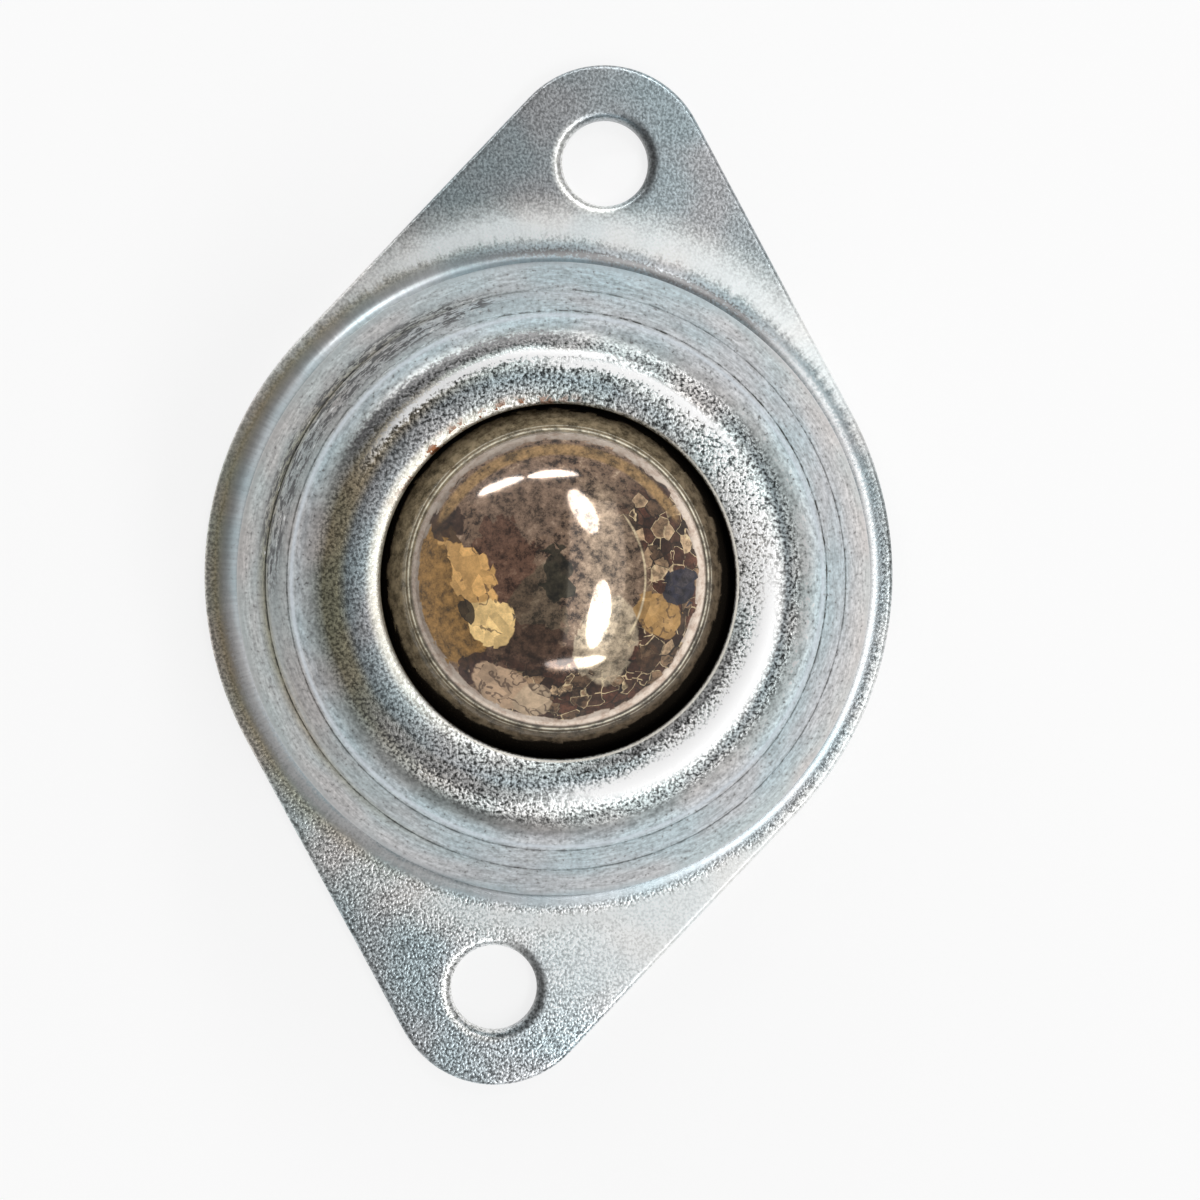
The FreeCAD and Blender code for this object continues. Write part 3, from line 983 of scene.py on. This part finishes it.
def patch_mask(f, spot, rags, right, up, half_width, half_height, turn, raggedness):
    """One inside a ragged ellipse on the ball's top."""
    local = f.turned(f.vector("SUBTRACT", spot, (right, up, 0.0)), -math.radians(turn))
    squeezed = f.vector("MULTIPLY", local, (1.0 / half_width, 1.0 / half_height, 0.0))
    swell = rags * (raggedness * 2.0 / min(half_width, half_height))
    distance = f.vector("LENGTH", squeezed) + swell
    return f.smooth(distance, 0.96, 1.04, 1.0, 0.0)


# Colours of the small tiles in the painted reflection, from the commonest to the rarest
TILE_TONES = (
    (0.0, (0.02, 0.009, 0.007)), (0.3, (0.13, 0.05, 0.032)), (0.55, (0.05, 0.032, 0.024)),
    (0.75, (0.16, 0.10, 0.065)), (0.9, (0.34, 0.23, 0.15)), (1.0, (0.72, 0.54, 0.37)),
)


def reflected_tiles(f, spot, rags, right, up, from_axis, upper):
    """Where the painted reflection shows small tiles, and the colours of these and of their joints."""
    torn = f.vector("ADD", spot, f.combine(rags * 0.1, rags * 0.08, 0.0))
    shade, other, _ = f.split(f.cells(torn, 14.0, output="Color", randomness=0.9))
    joints = f.cells(torn, 14.0, feature="DISTANCE_TO_EDGE", randomness=0.9)
    tiled = f.smooth(from_axis, 0.42, 0.46) * upper * f.smooth(right - up * 0.8, -0.12, 0.14)
    tile_tone = f.ramp(shade, TILE_TONES)
    joint_tone = f.mix(f.smooth(other, 0.6, 0.65), (0.015, 0.01, 0.009), (0.8, 0.66, 0.45))
    return tiled, f.mix(f.smooth(joints, 0.02, 0.055, 0.95, 0.0), tile_tone, joint_tone)


def painted_reflection_steel():
    """The load ball's mirror steel with a painted reflection of a brown, mottled room, which turns with it.
    """
    tone = finishes()
    f = Finish("tarnished_mirror_steel")
    place = f.node("ShaderNodeTexCoord").outputs["Object"]
    middle = f.vector("MULTIPLY", f.vector("SUBTRACT", place, tuple(BALL_CENTRE)), (1 / BALL_RADIUS,) * 3)
    spot = f.turned(middle, UPRIGHT - studio().camera_lean)
    right, up, height = f.split(spot)
    upper = f.smooth(height, 0.1, 0.3)
    from_axis = f.vector("LENGTH", f.combine(right, up, 0.0))

    cloud = f.noise(spot, 6.0, 1.0)
    mottle = f.noise(spot, 17.0, 4.0, 0.8)
    chips = f.split(f.cells(spot, 13.0, output="Color"))[0]
    rags = f.noise(spot, 5.0, 3.0, 0.6) - 0.5 + (chips - 0.5) * 0.3

    # The film is the painted reflection of a room: mottled brown, with a painted sheen of a window right of
    # the middle.
    film = f.ramp(mottle, (
        (0.34, tone.reflected_room_dark), (0.47, tone.reflected_room), (0.58, tone.reflected_room), (0.7, tone.reflected_room_pale),
    ))
    sheen = f.band(right, 0.22, 0.24) * f.smooth(from_axis, 0.6, 0.45) * upper
    film = f.mix(sheen * f.smooth(mottle, 0.3, 0.6, 0.3, 0.8), film, tone.reflected_room_pale)
    tiled, tile_colours = reflected_tiles(f, spot, rags, right, up, from_axis, upper)
    film = f.mix(tiled * 0.95, film, tile_colours)
    # Painted reflection: dark blotches, then the room's patches in order, the pale ones faceted and creased.
    blot = f.smooth(mottle, 0.5, 0.36, 0.0, 0.8) * f.smooth(abs(right + 0.14), 0.36, 0.2)
    film = f.mix(blot, film, tone.reflected_room_dark)
    pale_patch_share = 0.0
    for *ellipse, shade, strength, faceted in REFLECTED_ROOM_PATCHES:
        mask = patch_mask(f, spot, rags, *ellipse) * upper * strength
        film = f.mix(mask, film, shade)
        if faceted:
            pale_patch_share = f.larger(pale_patch_share, mask)

    # Painted reflection: an ochre arch above and a cream line on the right.
    arch = f.band(from_axis, 0.655, 0.05) * f.smooth(up, 0.22, 0.4) * upper
    film = f.mix(f.smooth(arch, 0.2, 0.7, 0.0, 0.9), film, (0.38, 0.25, 0.12))
    oval = f.vector("MULTIPLY", f.vector("SUBTRACT", spot, (0.08, 0.02, 0.0)), (1.0, 0.8, 0.0))
    cream_line = f.band(f.vector("LENGTH", oval), 0.34, 0.009) * f.smooth(right, 0.3, 0.36) * upper
    film = f.mix(cream_line, film, (0.85, 0.74, 0.55))
    mottled = f.spread(mottle, 0.3, 1.7)
    facets = f.between(chips, 0.72, 1.1) * f.spread(mottle, 0.75, 1.25)
    film = f.brightness(film, f.between(pale_patch_share, mottled, facets))
    crease = f.smooth(abs(rags - 0.02), 0.022, 0.008)
    film = f.mix(pale_patch_share * crease * 0.75, film, tone.reflected_room_dark)

    # Painted reflection round the ball's edge: a beige band, lighter to the upper left.
    raised = f.vector("LENGTH", f.combine(right, up - 0.014, 0.0))
    wavy = raised + rags * 0.06
    beige_band = f.smooth(wavy, 0.686, 0.694) * upper
    lit = f.facing(f.vector("NORMALIZE", f.combine(right, up, 0.0)), 135.0, 160.0)
    beige = f.mix(f.smooth(mottle, 0.35, 0.6), (0.5, 0.38, 0.3), (0.74, 0.63, 0.53))
    film = f.mix(beige_band, film, f.brightness(beige, f.between(lit, 1.3, 0.62)))
    # Painted reflection of the housing's opening wall as a brown ring, lighter to the upper left.
    rim = f.smooth(raised, 0.722, 0.734) * upper
    wall_reflection = f.mix(lit, (0.12, 0.09, 0.06), (0.22, 0.175, 0.11))
    film = f.mix(rim, film, f.brightness(wall_reflection, f.spread(mottle, 0.35, 1.6)))
    # Painted shadow: black in the gap under the lip.
    shaded = f.vector("LENGTH", f.vector("SUBTRACT", f.combine(right, up, 0.0), (-0.017, 0.031, 0.0)))
    gap_shadow = f.smooth(shaded + rags * 0.04, 0.823, 0.837)
    film = f.mix(gap_shadow * f.smooth(height, 0.3, 0.42), film, (0.01, 0.008, 0.006))
    # Painted reflection of the lip's edge as thin bright lines.
    lip_glints = f.larger(f.band(raised, 0.745, 0.007), f.band(raised, 0.762, 0.004) * 0.5)
    lip_glints = lip_glints * f.smooth(mottle, 0.35, 0.6, 0.15, 1.0) * upper
    film = f.mix(lip_glints, film, (1.0, 0.93, 0.74))
    f.surface(
        Base_Color=film,
        Metallic=f.math("SUBTRACT", f.between(pale_patch_share, 0.5, 0.1) + beige_band * 0.2, rim, clamp=True),
        Roughness=f.spread(cloud, 0.1, 0.05),
        Coat_Weight=1.0 - beige_band,
        Coat_Roughness=0.09,
        Coat_IOR=1.55,
        Coat_Tint=(1.0, 0.93, 0.82, 1.0),
    )
    return f.material


def floor_finish():
    """A pale floor that keeps the castor's shadow and reads as near white by eye and in reflections."""
    f = Finish("pale_floor")
    ray = f.node("ShaderNodeLightPath")
    seen = f.math("ADD", ray.outputs["Is Camera Ray"], ray.outputs["Is Glossy Ray"], clamp=True)
    seen = f.math("ADD", seen, ray.outputs["Is Transmission Ray"], clamp=True)
    glow = f.node("ShaderNodeEmission")
    blend = f.node("ShaderNodeMixShader")
    f.surface(Base_Color=opaque(studio().floor), Roughness=0.9)
    f.put(blend.inputs[0], seen * 0.8)
    f.put(blend.inputs[1], f.shader.outputs["BSDF"])
    f.put(blend.inputs[2], glow.outputs["Emission"])
    f.links.new(blend.outputs[0], f.output.inputs["Surface"])
    return f.material


# Operators


class CastorHousing(bpy.types.Operator):
    """Make the drawn and flanged housing with its rolled edges, draw rings and zinc plate"""

    bl_idname = "castor.housing"
    bl_label = "Housing"

    def execute(self, context):
        shell = show("housing_shell", housing_mesh(sizes()))
        plate = zinc_plate()
        dress(shell, plate)
        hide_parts("flanged_housing")
        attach(shell, "castor_shell")
        stakes = grown("wall_stakes", stake_mesh(sizes()), copies_round_axis(), {
            "Count": sizes().stake_count,
            "Finish": plate,
        })
        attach(stakes, "castor_shell")
        return {"FINISHED"}


class CastorCup(bpy.types.Operator):
    """Give the race cup its oiled drawn steel"""

    bl_idname = "castor.cup"
    bl_label = "Race cup"

    def execute(self, context):
        dress(frame["nodes"]["race_cup"], cup_steel())
        return {"FINISHED"}


class CastorLoadBall(bpy.types.Operator):
    """Make the load ball and its painted reflection"""

    bl_idname = "castor.load_ball"
    bl_label = "Load ball"

    def execute(self, context):
        place = points_mesh("load_ball_place", [BALL_CENTRE])
        ball = grown("load_ball_painted_reflection", place, balls_on_points(), {
            "Ball radius": BALL_RADIUS,
            "Fineness": 7,
            "Finish": painted_reflection_steel(),
        })
        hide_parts("load_ball")
        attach(ball, "load_ball")
        return {"FINISHED"}


class CastorBed(bpy.types.Operator):
    """Make the bed of bearing balls under the load ball"""

    bl_idname = "castor.bed"
    bl_label = "Bearing balls"

    def execute(self, context):
        corners = [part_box(name) for name in BEARING_NODES]
        places = [(low + high) / 2 for low, high in corners]
        bed = grown("bearing_bed", points_mesh("bearing_places", places), balls_on_points(), {
            "Ball radius": BEARING_RADIUS,
            "Fineness": 4,
            "Finish": bearing_steel(),
        })
        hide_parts(*BEARING_NODES)
        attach(bed, "ball_bed")
        return {"FINISHED"}


# Lamps by where their reflection lies on the load ball: right, up, half width and half height (shares of the
# ball's radius), turn in degrees, radiance and shape
LAMPS = (
    ("window", 0.215, 0.02, 0.15, 0.46, -4.0, 0.7, "RECTANGLE"),
    ("arc", -0.27, 0.47, 0.105, 0.022, 42.0, 14.0, "ELLIPSE"),
    ("bar", -0.01, 0.525, 0.11, 0.02, 5.0, 12.0, "ELLIPSE"),
    ("slanted", 0.146, 0.34, 0.052, 0.125, 17.0, 7.5, "ELLIPSE"),
    ("tall", 0.223, -0.176, 0.055, 0.175, -3.0, 6.5, "ELLIPSE"),
    ("low", 0.103, -0.418, 0.14, 0.03, 12.0, 6.0, "ELLIPSE"),
)


class CastorStage(bpy.types.Operator):
    """Set the floor, the lamps, the sky and the camera"""

    bl_idname = "castor.stage"
    bl_label = "Stage"

    def execute(self, context):
        set_floor()
        set_world()
        set_camera()
        for lamp in LAMPS:
            set_lamp(*lamp)
        context.scene.view_settings.view_transform = "Standard"
        return {"FINISHED"}


def picture_axes():
    """Right, up and towards the camera, as the castor is looked at."""
    stage = studio()
    ahead = (Vector(stage.camera_aim) - Vector(stage.camera_place)).normalized()
    right = ahead.cross(Vector((math.cos(stage.camera_lean), math.sin(stage.camera_lean), 0.0))).normalized()
    return right, right.cross(ahead), -ahead


def axes_matrix(right, up, back, place):
    return Matrix.Translation(place) @ Matrix((right, up, back)).transposed().to_4x4()


def set_floor():
    half = studio().floor_half
    corners = [(-half, -half, 0), (half, -half, 0), (half, half, 0), (-half, half, 0)]
    mesh = bpy.data.meshes.new("floor")
    mesh.from_pydata(corners, [], [(0, 1, 2, 3)])
    floor = show("floor", mesh)
    dress(floor, floor_finish())


def set_world():
    """A plain sky, pale at the horizon and grey overhead, that the camera sees as pale as the floor."""
    world = bpy.data.worlds.new("studio_sky")
    world.use_nodes = True
    sky = Nodes(world.node_tree)
    height = sky.split(sky.node("ShaderNodeTexCoord").outputs["Generated"])[2]
    glow = sky.smooth(height, 0.0, 0.9, 0.50, 0.25)
    ray = sky.node("ShaderNodeLightPath")
    seen = sky.fed("ShaderNodeMix", {"Factor": ray.outputs["Is Camera Ray"], "A": glow, "B": 0.9})
    sky.put(sky.nodes["Background"].inputs["Color"], seen)
    bpy.context.scene.world = world


def set_camera():
    stage = studio()
    data = bpy.data.cameras.new("camera")
    data.sensor_width = stage.film_width
    data.lens = stage.lens
    data.clip_start = 0.01
    camera = show("camera", data)
    camera.matrix_world = axes_matrix(*picture_axes(), Vector(stage.camera_place))
    bpy.context.scene.camera = camera


def set_lamp(name, right, up, half_width, half_height, turn, radiance, shape):
    """An area lamp where the load ball shows its reflection at that place and of that size."""
    distance = studio().lamp_distance
    right_axis, up_axis, back = picture_axes()
    normal = right_axis * right + up_axis * up + back * math.sqrt(1 - right ** 2 - up ** 2)
    towards = (normal * (2 * normal.dot(back)) - back).normalized()
    side = up_axis.cross(towards).normalized()
    above = towards.cross(side)
    angle = math.radians(turn)
    across = side * math.cos(angle) + above * math.sin(angle)
    data = bpy.data.lights.new(name, "AREA")
    data.shape = shape
    data.size = 4 * half_width * distance
    data.size_y = 4 * half_height * distance
    area = data.size * data.size_y * (math.pi / 4 if shape == "ELLIPSE" else 1.0)
    data.energy = radiance * math.pi * area
    lamp = show(name, data)
    lamp.matrix_world = axes_matrix(across, towards.cross(across), towards, BALL_CENTRE + towards * distance)
    lamp.visible_camera = False


class CastorPanel(bpy.types.Panel):
    """The castor's pieces and stage"""

    bl_idname = "VIEW3D_PT_castor"
    bl_label = "Ball castor"
    bl_space_type = "VIEW_3D"
    bl_region_type = "UI"
    bl_category = "Castor"

    def draw(self, context):
        for operator in OPERATORS:
            self.layout.operator(operator.bl_idname)


GROUPS = {
    "castor_housing": CastorHousingSizes,
    "castor_finishes": CastorFinishes,
    "castor_studio": CastorStudio,
}
OPERATORS = (CastorHousing, CastorCup, CastorLoadBall, CastorBed, CastorStage)


def register():
    for made in (*GROUPS.values(), *OPERATORS, CastorPanel):
        bpy.utils.register_class(made)
    for name, group in GROUPS.items():
        setattr(bpy.types.Scene, name, PointerProperty(type=group))


def unregister():
    for name in GROUPS:
        delattr(bpy.types.Scene, name)
    for made in reversed((*GROUPS.values(), *OPERATORS, CastorPanel)):
        bpy.utils.unregister_class(made)


def main():
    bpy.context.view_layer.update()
    register()
    bpy.ops.castor.housing()
    bpy.ops.castor.cup()
    bpy.ops.castor.load_ball()
    bpy.ops.castor.bed()
    bpy.ops.castor.stage()
    bpy.context.view_layer.update()


if __name__ == "__main__":
    main()
